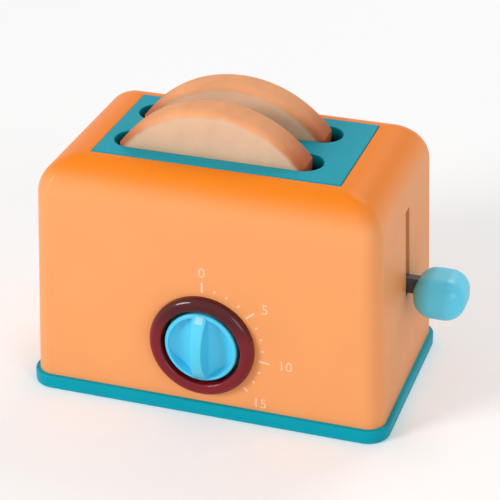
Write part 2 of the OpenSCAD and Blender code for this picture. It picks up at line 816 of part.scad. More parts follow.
module fly_pinion() {
    half_tooth = 180 / pinion_teeth;
    color([0.9, 0.88, 0.8])
        gear(pinion_teeth, fly_at, fly_angle + 180 + half_tooth, wheel_y - 0.1, fly_y - 0.1,
             arbor_r + fit_gap);
}

module fly_arbor() {
    color([0.75, 0.76, 0.78]) bar_y(fly_at[0], fly_at[1], arbor_r, case_y + 0.6, case_back - 0.6);
}

module governor_fly() {
    color([0.3, 0.3, 0.32]) difference() {
        union() {
            bar_y(fly_at[0], fly_at[1], arbor_r + 0.9, fly_y, fly_y + fly_t);
            block([fly_at[0] - fly_r, fly_y, fly_at[1] - 0.4],
                  [fly_at[0] + fly_r, fly_y + fly_t, fly_at[1] + 0.4]);
        }
        bar_y(fly_at[0], fly_at[1], arbor_r + fit_gap, fly_y - 1, fly_y + fly_t + 1);
    }
}

// Carriage

module bread_carriage() {
    color([0.25, 0.26, 0.28]) difference() {
        union() {
            for (side = [-1, 1])
                block([seat_x - seat_l / 2, side * slot_y - seat_w / 2, spine_z],
                      [seat_x + seat_l / 2, side * slot_y + seat_w / 2, seat_z]);
            for (x = [-0.36, 0, 0.36])
                block([seat_x + x * seat_l - 3, -slot_y, spine_z],
                      [seat_x + x * seat_l + 3, slot_y, seat_z]);
            block([-rod_x, -spine_w / 2, spine_z], [rod_x, spine_w / 2, spine_z + spine_h]);
            for (sx = [-1, 1]) bar_z(sx * rod_x, 0, holder_r, bush_z, bush_z + bush_l);
            block([catch_x[0], hook_y[0], catch_z[0]], [catch_x[1], hook_y[1], spine_z + eps]);
            block([catch_x[0], hook_y[0], catch_z[0]], [catch_x[2], hook_y[1], catch_z[1]]);
        }
        for (sx = [-1, 1])
            bar_z(sx * rod_x, 0, bush_r + fit_gap, spine_z - 1, bush_z + bush_l + 1);
        block([arm_x - tang_l - 1, -arm_w / 2 + 0.6 - fit_gap, lever_z - arm_h / 2 + 1 - fit_gap],
              [arm_x + 1, arm_w / 2 - 0.6 + fit_gap, lever_z + arm_h / 2 - 1 + fit_gap]);
    }
}

module guide_bushes() {
    color([0.95, 0.95, 0.92]) for (sx = [-1, 1]) difference() {
        bar_z(sx * rod_x, 0, bush_r, bush_z, bush_z + bush_l);
        bar_z(sx * rod_x, 0, rod_r + run_gap, bush_z - 1, bush_z + bush_l + 1);
    }
}

module lever_arm() {
    color([0.25, 0.26, 0.28]) difference() {
        union() {
            block([arm_x + seat_gap, -arm_w / 2, lever_z - arm_h / 2],
                  [arm_end, arm_w / 2, lever_z + arm_h / 2]);
            block([rod_x + bush_r + 0.3, -arm_w / 2 + 0.6, lever_z - arm_h / 2 + 1],
                  [arm_x + seat_gap + eps, arm_w / 2 - 0.6, lever_z + arm_h / 2 - 1]);
        }
        bar_z(grip_screw_x, 0, small_screw[0] + fit_gap, lever_z - arm_h / 2 - 1, lever_z + 2);
    }
}

module lever_knob() {
    color([0.3, 0.76, 0.9]) difference() {
        hull() for (x = [grip_x + grip_r, grip_x + grip_l - grip_r],
                    y = [-1, 1], z = [grip_low + grip_r, grip_low + grip_h - grip_r])
            translate([x, y * (grip_w / 2 - grip_r), z]) sphere(r = grip_r, $fn = 32);
        block([grip_x - 1, -arm_w / 2 - fit_gap, lever_z - arm_h / 2 - fit_gap],
              [arm_end + 0.2, arm_w / 2 + fit_gap, lever_z + arm_h / 2 + fit_gap]);
        bar_z(grip_screw_x, 0, small_screw[0] + drop_gap, grip_low - 1, lever_z);
        bar_z(grip_screw_x, 0, small_screw[1] + drop_gap, grip_low - 1, grip_low + 4);
    }
}

module lever_screw() {
    head = grip_low + 4;
    color([0.62, 0.63, 0.65]) translate([grip_screw_x, 0, head])
        screw(small_screw, lever_z + 1.6 - head);
}

// One return spring as an open helix of round wire
module helix(turns, height, radius) {
    steps = 8 * turns;
    sides = 6;
    points = [for (i = [0:steps], k = [0:sides - 1])
        let (a = 45 * i, b = 360 * k / sides, r = radius + wire_r * cos(b))
        [r * cos(a), r * sin(a), height * i / steps + wire_r * sin(b)]];
    skin = [for (i = [0:steps - 1], k = [0:sides - 1], half = [0, 1])
        let (a = i * sides + k, b = i * sides + (k + 1) % sides)
        half == 0 ? [a, a + sides, b + sides] : [a, b + sides, b]];
    ends = [[for (k = [sides - 1:-1:0]) k], [for (k = [0:sides - 1]) steps * sides + k]];
    polyhedron(points = points, faces = concat(skin, ends), convexity = 8);
}

module return_springs() {
    low = rod_foot + wire_r + 0.1;
    high = bush_z - wire_r - 0.1;
    color([0.75, 0.76, 0.78]) for (sx = [-1, 1])
        translate([sx * rod_x, 0, low]) helix(coil_turns, high - low, coil_r);
}

// Slices

module bread_outline(inset) {
    w = bread_w - 2 * inset;
    r = bread_corner_r;
    centre = bread_h - dome_r;
    intersection() {
        translate([0, centre]) circle(r = dome_r - inset);
        translate([-w / 2, centre]) square([w, dome_r]);
    }
    translate([-w / 2, inset + r]) square([w, centre - inset - r + 1]);
    translate([-w / 2 + r, inset]) square([w - 2 * r, centre - inset]);
    for (side = [-1, 1]) translate([side * (w / 2 - r), inset + r]) circle(r = r);
}

module slice(y) {
    color([0.9, 0.71, 0.55]) translate([bread_x, y, seat_z]) {
        front_prism(-bread_t / 2 + crust_step, bread_t / 2 - crust_step) bread_outline(0);
        front_prism(-bread_t / 2, bread_t / 2) bread_outline(crust_step);
    }
}

module front_toast() { slice(-slot_y); }

module rear_toast() { slice(slot_y); }

// Latch and switch

module latch_pin() {
    color([0.75, 0.76, 0.78])
        bar_y(latch_x, latch_z, latch_pin_r, case_out + 0.2, post_face + latch_post_t);
}

// Flat arm of the latch as a run of bars, in the plane of the front
module latch_arm(points, r) {
    for (i = [0:len(points) - 2]) {
        step = points[i + 1] - points[i];
        translate(points[i]) rotate(atan2(step[1], step[0]))
            translate([0, -r]) square([norm(step), 2 * r]);
        translate(points[i + 1]) circle(r = r);
    }
}

module latch_hook() {
    hub = latch_pin_r + hub_wall;
    nose_at = [catch_x[1] + 0.3 - latch_x, nose_low - latch_z];
    color([0.92, 0.45, 0.2]) translate([latch_x, 0, latch_z]) rotate([0, latch_swing, 0])
        difference() {
            union() {
                bar_y(0, 0, hub, cam_y, post_face - 0.3);
                front_prism(cam_y + 0.2, cam_y + cam_t) latch_arm(finger, finger_r);
                front_prism(hook_y[0], hook_y[1]) {
                    latch_arm(hook_arm, hook_r);
                    translate(nose_at) square([hook_arm[2][0] - nose_at[0], nose_h]);
                }
            }
            bar_y(0, 0, latch_pin_r + run_gap, cam_y - 1, post_face + 1);
        }
}

module light_switch() {
    low = switch_top - switch_size[2];
    color([0.15, 0.15, 0.16]) difference() {
        block([switch_x - switch_size[0] / 2, -switch_size[1] / 2, low],
              [switch_x + switch_size[0] / 2, switch_size[1] / 2, switch_top]);
        bar_z(switch_x, 0, plunger_r + run_gap, switch_top - 3, switch_top + 1);
    }
}

module switch_plunger() {
    color([0.85, 0.2, 0.15])
        bar_z(switch_x, 0, plunger_r, switch_top - 2.8, switch_top + plunger_up);
}

// Batteries and wires

module battery_cells() {
    color([0.2, 0.35, 0.55]) for (side = [-1, 1])
        translate([0, well_mid + side * cell_pitch / 2, cell_z]) rotate([0, side * 90, 0]) {
            translate([0, 0, -cell_l / 2]) cylinder(r = cell_r, h = cell_l - nub_l);
            translate([0, 0, cell_l / 2 - nub_l - eps]) cylinder(r = nub_r, h = nub_l + eps);
        }
}

module battery_contacts() {
    reach = well_w / 2 - cell_l / 2 - seat_gap;
    color([0.8, 0.78, 0.7]) for (end = [-1, 1], side = [-1, 1])
        translate([end * well_w / 2, well_mid + side * cell_pitch / 2, cell_z])
            rotate([0, -end * 90, 0]) {
                translate([-contact_half, -contact_half, 0])
                    cube([2 * contact_half, 2 * contact_half, contact_t]);
                cylinder(r = nub_r * (end == side ? 0.75 : 1.15), h = reach);
            }
}

// Outline of the battery door with its screw tab, from one level to another
module door_form(grow, z0, z1) {
    block([-door_w / 2 - grow, well_mid - door_d / 2 - grow, z0],
          [door_w / 2 + grow, well_mid + door_d / 2 + grow, z1]);
    block([door_screw_x - 4 - grow, well_mid - door_tab_w / 2 - grow, z0],
          [0, well_mid + door_tab_w / 2 + grow, z1]);
}

module battery_door() {
    color([0.22, 0.68, 0.78]) difference() {
        door_form(0, door_recess, door_top);
        bar_z(door_screw_x, well_mid, small_screw[0] + drop_gap, -1, door_top + 1);
        bar_z(door_screw_x, well_mid, small_screw[1] + drop_gap, -1, door_head);
    }
}

module door_screw() {
    color([0.62, 0.63, 0.65]) translate([door_screw_x, well_mid, door_head])
        screw([small_screw[0], small_screw[1], door_head - door_recess], 8);
}

// Square lead through a list of points
module lead(points) {
    for (i = [0:len(points) - 2])
        block([for (k = [0:2]) min(points[i][k], points[i + 1][k]) - lead_half],
              [for (k = [0:2]) max(points[i][k], points[i + 1][k]) + lead_half]);
}

module wiring() {
    color([0.8, 0.12, 0.12]) {
        lead(lamp_lead);
        lead(switch_lead);
    }
}

outer_shell();
top_insert();
base_plate();
dial_lens();
timer_front();
timer_back();
light_board();
ring_lamps();
guide_rods();
battery_cells();
battery_contacts();
base_screws();
timer_screws();
latch_pin();
light_switch();
wiring();
mainspring();
bread_carriage();
guide_bushes();
lever_arm();
lever_knob();
lever_screw();
return_springs();
front_toast();
rear_toast();
dial_knob();
dial_shaft();
drive_gear();
release_cam();
middle_gear();
middle_arbor();
fly_pinion();
fly_arbor();
governor_fly();
latch_hook();
switch_plunger();
battery_door();
door_screw();
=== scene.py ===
import math

import bmesh
import bpy
from mathutils import Matrix, Vector


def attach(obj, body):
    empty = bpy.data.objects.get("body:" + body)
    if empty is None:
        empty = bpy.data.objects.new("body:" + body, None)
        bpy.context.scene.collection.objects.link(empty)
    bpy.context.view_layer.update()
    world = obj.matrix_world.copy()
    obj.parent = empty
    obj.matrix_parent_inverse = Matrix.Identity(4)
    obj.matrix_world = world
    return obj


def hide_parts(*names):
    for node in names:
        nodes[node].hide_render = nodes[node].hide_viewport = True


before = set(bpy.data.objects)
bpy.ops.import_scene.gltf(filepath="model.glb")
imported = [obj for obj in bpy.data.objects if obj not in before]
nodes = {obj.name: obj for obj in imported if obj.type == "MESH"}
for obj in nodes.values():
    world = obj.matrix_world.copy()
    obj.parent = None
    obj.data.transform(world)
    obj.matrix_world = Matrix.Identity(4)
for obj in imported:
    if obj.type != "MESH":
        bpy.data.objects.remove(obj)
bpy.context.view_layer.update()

# sizes are in mm and angles in degrees, but the camera, the floor and the lamps are in metres
mm = 0.001
near = 0.01  # places that differ by less are level
weld = 0.002 * mm  # vertices nearer than this become one
hardEdge = math.radians(30)  # steeper edges are shaded as corners
turnSteps, cornerSteps, softSteps = 128, 6, 3  # of a full turn, a round corner, a softened edge


# helpers for the meshes

def objectFrom(bm, name):
    mesh = bpy.data.meshes.new(name)
    bm.to_mesh(mesh)
    bm.free()
    made = bpy.data.objects.new(name, mesh)
    bpy.context.scene.collection.objects.link(made)
    return made


def addPiece(bm, name, body, material, replaced=()):
    piece = objectFrom(bm, name)
    piece.data.shade_smooth()
    piece.data.set_sharp_from_angle(angle=hardEdge)
    piece.data.materials.append(material)
    flat = piece.modifiers.new("evenShading", "WEIGHTED_NORMAL")
    flat.keep_sharp = True
    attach(piece, body)
    if replaced:
        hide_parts(*replaced)


def withBoolean(bm, other, how="DIFFERENCE"):  # both meshes are used up
    base, tool = objectFrom(bm, "workBase"), objectFrom(other, "workTool")
    cut = base.modifiers.new("cut", "BOOLEAN")
    cut.operation, cut.solver, cut.object = how, "EXACT", tool
    bpy.context.view_layer.update()
    solved = base.evaluated_get(bpy.context.evaluated_depsgraph_get())
    result = bmesh.new()
    result.from_mesh(solved.to_mesh())
    solved.to_mesh_clear()
    for spare in (base, tool):
        bpy.data.objects.remove(spare)
    return result


def shift(bm, place):
    bmesh.ops.translate(bm, verts=bm.verts, vec=Vector(place) * mm)


def turn(bm, angle, axis):  # about the origin
    bmesh.ops.rotate(bm, verts=bm.verts, matrix=Matrix.Rotation(math.radians(angle), 3, axis))


def block(size, middle):  # a box by its size and its middle
    bm = bmesh.new()
    bmesh.ops.create_cube(bm, size=1)
    bmesh.ops.scale(bm, verts=bm.verts, vec=Vector(size) * mm)
    shift(bm, middle)
    return bm


def roundEdges(bm, edges, radius, segments):
    bmesh.ops.bevel(bm, geom=edges, offset=radius * mm, offset_type="OFFSET", segments=segments,
                    affect="EDGES", profile=0.5, material=-1)


def cadCopy(node):  # a merged copy of a CAD solid, for finer edges
    bm = bmesh.new()
    bm.from_mesh(nodes[node].data)
    flat = math.radians(0.3)  # faces that turn less become one
    bmesh.ops.remove_doubles(bm, verts=bm.verts, dist=weld)
    bmesh.ops.dissolve_limit(bm, angle_limit=flat, verts=bm.verts, edges=bm.edges, delimit=set())
    return bm


def softenEdges(bm, chosen, radius):  # the corners whose two ends, in mm, are chosen
    corner = math.radians(35)
    edges = [e for e in bm.edges if e.is_manifold and e.calc_face_angle(0) > corner
             and chosen(*(v.co / mm for v in e.verts))]
    roundEdges(bm, edges, radius, softSteps)


def arc(cx, cy, r, start, end, steps):  # points of a round stretch, from one angle to another
    angles = [math.radians(start + (end - start) * i / steps) for i in range(steps + 1)]
    return [(cx + r * math.cos(a), cy + r * math.sin(a)) for a in angles]


def lathed(points, centre):  # (radius, depth along Y) points, spun about Y through (x, z)
    bm = bmesh.new()
    verts = [bm.verts.new(((centre[0] + r) * mm, y * mm, centre[1] * mm)) for r, y in points]
    edges = [bm.edges.new(pair) for pair in zip(verts, verts[1:])]
    bmesh.ops.spin(bm, geom=verts + edges, cent=(centre[0] * mm, 0, centre[1] * mm), axis=(0, 1, 0),
                   angle=math.tau, steps=turnSteps, use_merge=True)
    bmesh.ops.remove_doubles(bm, verts=bm.verts, dist=weld)
    bmesh.ops.recalc_face_normals(bm, faces=bm.faces)
    return bm


def prism(points, across):  # a closed outline, drawn out into a solid
    bm = bmesh.new()
    face = bm.faces.new([bm.verts.new(Vector(p) * mm) for p in points])
    grown = bmesh.ops.extrude_face_region(bm, geom=[face])["geom"]
    bmesh.ops.translate(bm, vec=Vector(across) * mm,
                        verts=[g for g in grown if isinstance(g, bmesh.types.BMVert)])
    bmesh.ops.recalc_face_normals(bm, faces=bm.faces)
    return bm


# helpers for the materials

plainLook = {  # what a moulding has where its own look says nothing else
    "metal": 0, "specular": 0.5, "coat": 0, "coatRough": 0.1, "clear": 0, "wear": 0.2, "wearScale": 90,
    "drift": 0.03, "cloudScale": 35, "cloudDetail": 3, "cloudSpan": (0.2, 0.8), "cloudBlend": "EASE",
    "grain": 0.05, "grainScale": 1500, "grainDetail": 4, "grainDepth": 0.1, "stretch": (1, 1, 1),
}
lookSockets = {"Metallic": "metal", "Specular IOR Level": "specular", "Coat Weight": "coat",
               "Coat Roughness": "coatRough", "Transmission Weight": "clear"}


def linear(r, g, b):  # screen colour, 0 to 255
    return [(c / 255 / 12.92 if c <= 10 else ((c / 255 + 0.055) / 1.055) ** 2.4)
            for c in (r, g, b)] + [1.0]


def feed(tree, socket, value):
    if isinstance(value, bpy.types.NodeSocket):
        tree.links.new(value, socket)
    else:
        socket.default_value = value


def maths(tree, operation, *values):
    node = tree.nodes.new("ShaderNodeMath")
    node.operation = operation
    for socket, value in zip(node.inputs, values):
        feed(tree, socket, value)
    return node.outputs["Value"]


def noise(tree, where, scale, detail=2):
    made = tree.nodes.new("ShaderNodeTexNoise")
    made.inputs["Scale"].default_value = scale
    made.inputs["Detail"].default_value = detail
    tree.links.new(where, made.inputs["Vector"])
    return made.outputs["Fac"]


def ranged(tree, value, low, high, out=(0, 1), how="SMOOTHSTEP"):
    node = tree.nodes.new("ShaderNodeMapRange")
    node.interpolation_type = how
    for name, number in zip(("From Min", "From Max", "To Min", "To Max"), (low, high, *out)):
        node.inputs[name].default_value = number
    tree.links.new(value, node.inputs["Value"])
    return node.outputs["Result"]


def axes(tree, where):
    split = tree.nodes.new("ShaderNodeSeparateXYZ")
    tree.links.new(where, split.inputs["Vector"])
    return split.outputs


def climbing(tree, where, low, high):  # 0 below one height, 1 above the other
    return ranged(tree, axes(tree, where)["Z"], low * mm, high * mm)


def blended(tree, factor, first, second):  # a colour from the first, at 0, to the second, at 1
    mix = tree.nodes.new("ShaderNodeMix")
    mix.data_type = "RGBA"
    tree.links.new(factor, mix.inputs["Factor"])
    for socket, value in zip([s for s in mix.inputs if s.type == "RGBA"], (first, second)):
        feed(tree, socket, value)
    return [s for s in mix.outputs if s.type == "RGBA"][0]


def clouded(tree, where, colour, drift, look):  # a colour that drifts slowly, as in a moulded part
    tint = tree.nodes.new("ShaderNodeValToRGB")
    tint.color_ramp.interpolation = look["cloudBlend"]
    for stop, way, at in zip(tint.color_ramp.elements, (1 - drift, 1 + drift), look["cloudSpan"]):
        stop.color = [min(c * way, 1) for c in linear(*colour)[:3]] + [1]
        stop.position = at
    tree.links.new(noise(tree, where, look["cloudScale"], look["cloudDetail"]), tint.inputs["Fac"])
    return tint.outputs["Color"]


def roughen(tree, shader, height, strength, depth):
    bump = tree.nodes.new("ShaderNodeBump")
    bump.inputs["Strength"].default_value = strength
    bump.inputs["Distance"].default_value = depth * mm
    tree.links.new(height, bump.inputs["Height"])
    tree.links.new(bump.outputs["Normal"], shader.inputs["Normal"])


def startMaterial(name):
    made = bpy.data.materials.new(name)
    made.use_nodes = True
    tree = made.node_tree
    where = tree.nodes.new("ShaderNodeTexCoord").outputs["Object"]
    return made, tree, tree.nodes["Principled BSDF"], where


def moulded(name, ownLook):
    look = {**plainLook, **ownLook}
    made, tree, shader, where = startMaterial(name)
    made.diffuse_color = linear(*look["colour"])
    for socket, key in lookSockets.items():
        shader.inputs[socket].default_value = look[key]

    colour = clouded(tree, where, look["colour"], look["drift"], look)
    if "upper" in look:  # a second colour takes over with the height, as painted shade
        colour = blended(tree, climbing(tree, where, *look["shadeClimb"]), colour, linear(*look["upper"]))
    tree.links.new(colour, shader.inputs["Base Color"])

    handled = noise(tree, where, look["wearScale"])
    limits = [look["rough"] * (1 + way * look["wear"]) for way in (-1, 1)]
    tree.links.new(ranged(tree, handled, 0, 1, limits, "LINEAR"), shader.inputs["Roughness"])

    stretch = tree.nodes.new("ShaderNodeMapping")
    stretch.inputs["Scale"].default_value = look["stretch"]
    tree.links.new(where, stretch.inputs["Vector"])
    grain = noise(tree, stretch.outputs["Vector"], look["grainScale"], look["grainDetail"])
    roughen(tree, shader, grain, look["grain"], look["grainDepth"])
    return made


# camera

cameraSetup = {"place": (0.2281, -0.6807, 0.4379), "aim": (0.007, -0.004, 0.0585),
               "lens": 135, "sensor": 36}


def turnTowards(thing, aim):
    thing.rotation_euler = (Vector(aim) - thing.location).to_track_quat("-Z", "Y").to_euler()


camera = bpy.data.objects.new("camera", bpy.data.cameras.new("camera"))
bpy.context.scene.collection.objects.link(camera)
camera.location = cameraSetup["place"]
turnTowards(camera, cameraSetup["aim"])
camera.data.lens = cameraSetup["lens"]
camera.data.sensor_width = cameraSetup["sensor"]
bpy.context.scene.camera = camera
print("camera set")


# body shell

shell = {
    "halfWidth": 78, "halfDepth": 46.5, "bottom": 6.2, "top": 108.6, "lean": 3.7, "wall": 2.2,
    "shoulder": (19, 15, 17),  # over the sides, over the front and back, height
    "corner": 8, "tip": 1.2,  # radii of the upright corners, low down and at the top
    "opening": (53.85, 30.85), "openingCorner": 0.6,
    "lip": ((0.35, 0.3, 0), (0.1, 0.1, 0.1), (0, 0, 0.35)),  # outwards, more corner, down
    "ledge": (51.35, 28.35), "ledgeTop": 106.6, "ledgeBottom": 104.1, "ledgeRoot": (2.5, 0.8),
    "around": 80, "upright": 8, "shoulderStep": 5, "insideStep": 10, "insideTop": 70,
    "dialHole": {"radius": 20.3, "depth": 8, "middle": (0, -45.4, 34), "segments": 96},
    "leverSlot": {"size": (11.5, 6.4, 39.4), "middle": (74.25, 0, 67)},
    # the paler orange holds a painted sheen on the front; the deeper orange over the shoulder and roof
    # is painted shade
    "look": {"colour": (250, 165, 103), "upper": (255, 137, 22), "shadeClimb": (95, 108),
             "rough": 0.36, "specular": 0.1, "coat": 0.08, "coatRough": 0.15, "grain": 0.03,
             "drift": 0.02},
}


def shellLevels(s):  # (half width, half depth, corner, height) up the outside and down the inside
    sx, sy, sz = s["shoulder"]
    start, wall, corner = s["top"] - sz, s["wall"], s["openingCorner"]

    def onShoulder(angle, inwards):
        c, n = math.cos(math.radians(angle)), math.sin(math.radians(angle))
        return (s["halfWidth"] - s["lean"] - inwards - (sx - inwards) * (1 - c),
                s["halfDepth"] - inwards - (sy - inwards) * (1 - c),
                max(s["tip"] + (s["corner"] - s["tip"]) * c - inwards, corner),
                start + (sz - inwards) * n)

    levels = []
    for k in range(s["upright"] + 1):
        part = k / s["upright"]
        levels.append((s["halfWidth"] - s["lean"] * part, s["halfDepth"], s["corner"],
                       s["bottom"] + (start - s["bottom"]) * part))
    levels += [onShoulder(a, 0) for a in range(s["shoulderStep"], 91, s["shoulderStep"])]
    ox, oy = s["opening"]
    levels += [(ox + out, oy + out, corner + more, s["top"] - down) for out, more, down in s["lip"]]
    out, more = s["ledgeRoot"]
    levels += [(ox, oy, corner, s["ledgeTop"]), (*s["ledge"], corner, s["ledgeTop"]),
               (*s["ledge"], corner, s["ledgeBottom"]), (ox + out, oy + out, more, s["ledgeBottom"])]
    levels += [onShoulder(a, wall) for a in range(s["insideTop"], -1, -s["insideStep"])]
    levels.append((s["halfWidth"] - wall, s["halfDepth"] - wall, s["corner"] - wall, s["bottom"]))
    return levels


def makeShell(s):
    bm = bmesh.new()
    ring = bmesh.ops.create_circle(bm, segments=s["around"], radius=1)["verts"]
    bmesh.ops.rotate(bm, verts=ring, matrix=Matrix.Rotation(math.pi / s["around"], 3, "Z"))
    unit = [(v.co.x, v.co.y) for v in ring]

    def place(verts, hx, hy, r, z):  # spreads a unit circle's quarters into a rounded rectangle
        for v, (ux, uy) in zip(verts, unit):
            v.co = Vector((math.copysign(hx - r, ux) + r * ux, math.copysign(hy - r, uy) + r * uy,
                           z)) * mm

    levels = shellLevels(s)
    place(ring, *levels[0])
    first = list({e for v in ring for e in v.link_edges})
    edges = first
    order = {v: i for i, v in enumerate(ring)}
    for level in levels[1:]:
        grown = bmesh.ops.extrude_edge_only(bm, edges=edges)["geom"]
        edges = [g for g in grown if isinstance(g, bmesh.types.BMEdge)]
        follow = {}
        for v in (g for g in grown if isinstance(g, bmesh.types.BMVert)):
            below = next(e.other_vert(v) for e in v.link_edges if e.other_vert(v) in order)
            follow[v] = order[below]
        order = follow
        place(sorted(order, key=order.get), *level)
    bmesh.ops.bridge_loops(bm, edges=first + edges)
    bmesh.ops.recalc_face_normals(bm, faces=bm.faces)
    return bm


def makeDialHole(h):
    bm = bmesh.new()
    r = h["radius"] * mm
    bmesh.ops.create_cone(bm, cap_ends=True, segments=h["segments"], radius1=r, radius2=r,
                          depth=h["depth"] * mm)
    turn(bm, 90, "X")
    shift(bm, h["middle"])
    return bm


shellMaterial = moulded("orangeShell", shell["look"])
shellMesh = withBoolean(makeShell(shell), makeDialHole(shell["dialHole"]))
shellMesh = withBoolean(shellMesh, block(**shell["leverSlot"]))
addPiece(shellMesh, "bodyShell", "housing", shellMaterial, ["outer_shell"])
print("shell made")


# top insert and base slab

teal = {"colour": (0, 161, 181), "rough": 0.38, "specular": 0.1, "grain": 0.05, "drift": 0.03}
insert = {"above": 108.9, "soft": 0.45,  # only the rims of its plate are softened
          "look": {**teal, "colour": (14, 62, 76), "upper": teal["colour"],  # painted shade inside the chutes, teal above
                   "shadeClimb": (102, 107.5)}}
slab = {"top": shell["bottom"], "rim": (75, 44.9), "soft": 0.8}


def isInsertRim(a, b):
    return min(a.z, b.z) > insert["above"]


def isSlabRim(a, b):
    level = abs(a.z - b.z) < near
    outside = all(abs(v.x) > slab["rim"][0] or abs(v.y) > slab["rim"][1] for v in (a, b))
    return level and outside and (a.z < near or abs(a.z - slab["top"]) < near)


insertMesh = cadCopy("top_insert")
softenEdges(insertMesh, isInsertRim, insert["soft"])
addPiece(insertMesh, "slottedTop", "housing", moulded("tealTop", insert["look"]),
         ["top_insert"])

slabMesh = cadCopy("base_plate")
softenEdges(slabMesh, isSlabRim, slab["soft"])
addPiece(slabMesh, "baseSlab", "housing", moulded("tealBase", teal), ["base_plate"])
print("insert and base made")


# dial ring and knob

dialCentre = (0, 34)  # x and z
ring = {
    "outer": 23, "bore": 17.5, "front": -50.5, "wall": -shell["halfDepth"], "sleeve": 20.1,
    "back": -43.0, "round": 2.6, "boreRound": 1.0, "centre": dialCentre,
    # the darker top of the ring is painted shade
    "look": {"colour": (126, 16, 28), "upper": (78, 4, 14), "shadeClimb": (35, 52), "rough": 0.2,
             "specular": 0.1, "coat": 0.55, "coatRough": 0.05, "grain": 0.01, "drift": 0.15,
             "cloudScale": 60},
}
knob = {
    "radius": 15.9, "front": -49.6, "back": -43.3, "edge": 0.9, "rim": 1.6, "centre": dialCentre,
    "hub": (4.5, -41.1),  # its radius, and how far back it reaches
    "ridge": 6.6, "crest": 5.0, "rise": 6.5, "ends": 15.1, "ridgeSteps": 28,
    "crestRound": 0.7, "crestSteps": 4,
    "deep": 3.4, "shallow": 0.6,  # the scoops, beside the ridge and at the rim
    "scoopLean": 0.85, "scoopFull": 0.9, "scoopSteps": 24, "scoopSlope": (0.3, 1.2),
    "under": 0.3, "past": 0.5, "over": 3.0, "below": 0.2,  # how far the cutting tools overlap
    "speck": 0.04,  # edges shorter than this are closed
    "look": {"colour": (82, 210, 245), "rough": 0.36, "specular": 0.35, "coat": 0.25,
             "coatRough": 0.12, "grain": 0.03, "drift": 0.03},
}


def makeRing(r):
    outline = ([(r["bore"], r["back"]), (r["sleeve"], r["back"]), (r["sleeve"], r["wall"]),
                (r["outer"], r["wall"])]
               + arc(r["outer"] - r["round"], r["front"] + r["round"], r["round"], 0, -90,
                     2 * cornerSteps)
               + arc(r["bore"] + r["boreRound"], r["front"] + r["boreRound"], r["boreRound"],
                     -90, -180, cornerSteps)
               + [(r["bore"], r["back"])])
    return lathed(outline, r["centre"])


def makeScoop(k, side):
    cx, cz = k["centre"]
    start, end = k["ridge"] / 2 - k["under"], k["radius"] - k["rim"] + k["past"]
    curve = [(start, -k["over"])]
    for i in range(k["scoopSteps"] + 1):  # dips beside the ridge and rises towards the rim
        t = i / k["scoopSteps"]
        dip = k["deep"] * math.sin(math.pi * t ** k["scoopLean"]) ** k["scoopFull"]
        curve.append((start + (end - start) * t, max(dip, k["shallow"] * t)))
    curve.append((end, -k["over"]))
    bm = prism([(cx + side * x, k["front"] + d, cz - k["radius"]) for x, d in curve],
               (0, 0, 2 * k["radius"]))

    top, bottom = k["front"] - k["over"] - 1, k["front"] + k["deep"] + k["below"]
    down, inwards = k["scoopSlope"]
    far = k["radius"] - k["rim"]
    within = lathed([(0, top), (far, top), (far, k["front"] + down), (far - inwards, bottom),
                     (0, bottom)], k["centre"])
    return withBoolean(bm, within, "INTERSECT")


def crestPoints(k, out, low, high, steps):  # (y, z) along the ridge's crest, out mm over it
    r = (k["ends"] ** 2 + k["rise"] ** 2) / (2 * k["rise"])
    middle = k["front"] - k["rise"] + r
    first, last = (math.degrees(math.asin(z / r)) for z in (low, high))
    return [(middle - y, k["centre"][1] + z) for y, z in arc(0, 0, r + out, first, last, steps)]


def makeRidge(k):
    cx, cz = k["centre"]
    foot = k["front"] + k["deep"]
    side = crestPoints(k, 0, -k["ends"], k["ends"], k["ridgeSteps"])
    side += [(foot, cz + k["ends"]), (foot, cz - k["ends"])]
    bm = prism([(cx - k["ridge"] / 2, y, z) for y, z in side], (k["ridge"], 0, 0))
    for v in bm.verts:  # leans in towards the crest
        out = max(k["front"] - v.co.y / mm, 0) / k["rise"]
        v.co.x = cx * mm + (v.co.x - cx * mm) * (1 - (1 - k["crest"] / k["ridge"]) * out)
    lengthwise = 0.3 * mm  # edges along the ridge step aside by less
    crest = [e for e in bm.edges if abs(e.verts[0].co.x - e.verts[1].co.x) < lengthwise
             and all(v.co.y / mm < k["front"] + near for v in e.verts)]
    roundEdges(bm, crest, k["crestRound"], k["crestSteps"])
    return bm


def makeKnob(k):
    r, (hubRadius, hubEnd) = k["radius"], k["hub"]
    outline = ([(0, hubEnd), (hubRadius, hubEnd), (hubRadius, k["back"]), (r, k["back"])]
               + arc(r - k["edge"], k["front"] + k["edge"], k["edge"], 0, -90,
                     cornerSteps)
               + [(0, k["front"])])
    bm = lathed(outline, k["centre"])
    for side in (-1, 1):
        bm = withBoolean(bm, makeScoop(k, side))
    bm = withBoolean(bm, makeRidge(k), "UNION")
    bmesh.ops.dissolve_degenerate(bm, dist=k["speck"] * mm, edges=bm.edges)
    return bm


addPiece(makeRing(ring), "dialRing", "housing",
         moulded("burgundyRing", ring["look"]), ["dial_lens"])
addPiece(makeKnob(knob), "timerKnob", "dial", moulded("blueKnob", knob["look"]),
         ["dial_knob"])
print("dial made")


# lever knob

grip = {
    "size": (22.5, 24, 19), "middle": (90.75, 0, 49.5), "round": 8.5, "segments": 10,
    "socket": {"size": (15.85, 4.06, 7.06), "middle": (86.425, 0, 52)},  # where the arm goes in
    # the same plastic as the knob, painted lighter as painted light to make up for the shade on its
    # side
    "look": {"colour": (96, 218, 250), "rough": 0.36, "specular": 0.35, "coat": 0.25,
             "coatRough": 0.1, "grain": 0.03, "drift": 0.03},
}


def makeGrip(g):
    bm = block(g["size"], g["middle"])
    roundEdges(bm, bm.edges[:], g["round"], g["segments"])
    return withBoolean(bm, block(**g["socket"]))


addPiece(makeGrip(grip), "leverGrip", "carriage", moulded("blueGrip", grip["look"]),
         ["lever_knob"])
print("lever made")


# slices of bread

